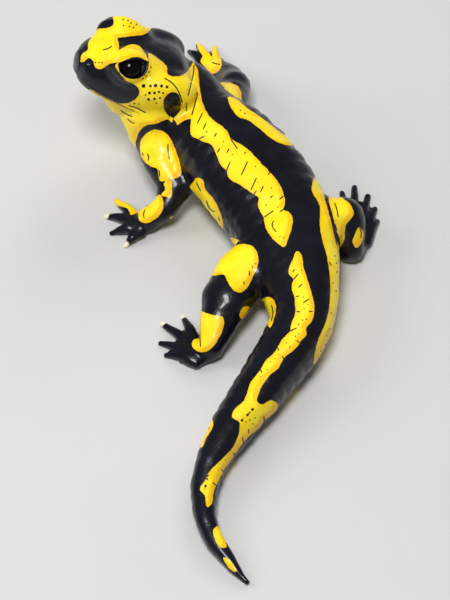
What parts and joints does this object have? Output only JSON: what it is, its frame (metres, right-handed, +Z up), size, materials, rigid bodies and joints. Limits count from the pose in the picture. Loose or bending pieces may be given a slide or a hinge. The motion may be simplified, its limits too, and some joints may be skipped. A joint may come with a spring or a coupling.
{
  "type": "fire salamander model",
  "caption": "Life-size still model of a fire salamander standing on the floor, head raised and turned, belly and curved tail resting.",
  "frame": {"origin": "middle of the bounding box on the floor plane", "axes": "+Y along the body from the tail towards the shoulders, +X towards the animal's right side, +Z up from the floor"},
  "size_m": [0.0854, 0.1876, 0.0423],
  "materials": {
    "black_skin": "wet gloss",
    "yellow_skin": "wet gloss",
    "eye": "mirror gloss"
  },
  "bodies": {
    "root": {"tail_tip": "black_skin", "tail_end": "black_skin", "tail_middle": "black_skin", "tail_root": "black_skin", "trunk_hip": "black_skin", "trunk_loin": "black_skin", "trunk_chest": "black_skin", "neck": "black_skin", "head": "black_skin", "lower_jaw": "yellow_skin", "eye_left": "eye", "eye_right": "eye", "left_fore_upper_arm": "black_skin", "left_fore_forearm": "black_skin", "left_fore_hand": "black_skin", "right_fore_upper_arm": "black_skin", "right_fore_forearm": "black_skin", "right_fore_hand": "black_skin", "left_hind_thigh": "black_skin", "left_hind_shank": "black_skin", "left_hind_foot": "black_skin", "right_hind_thigh": "black_skin", "right_hind_shank": "black_skin", "right_hind_foot": "black_skin"}
  },
  "joints": []
}
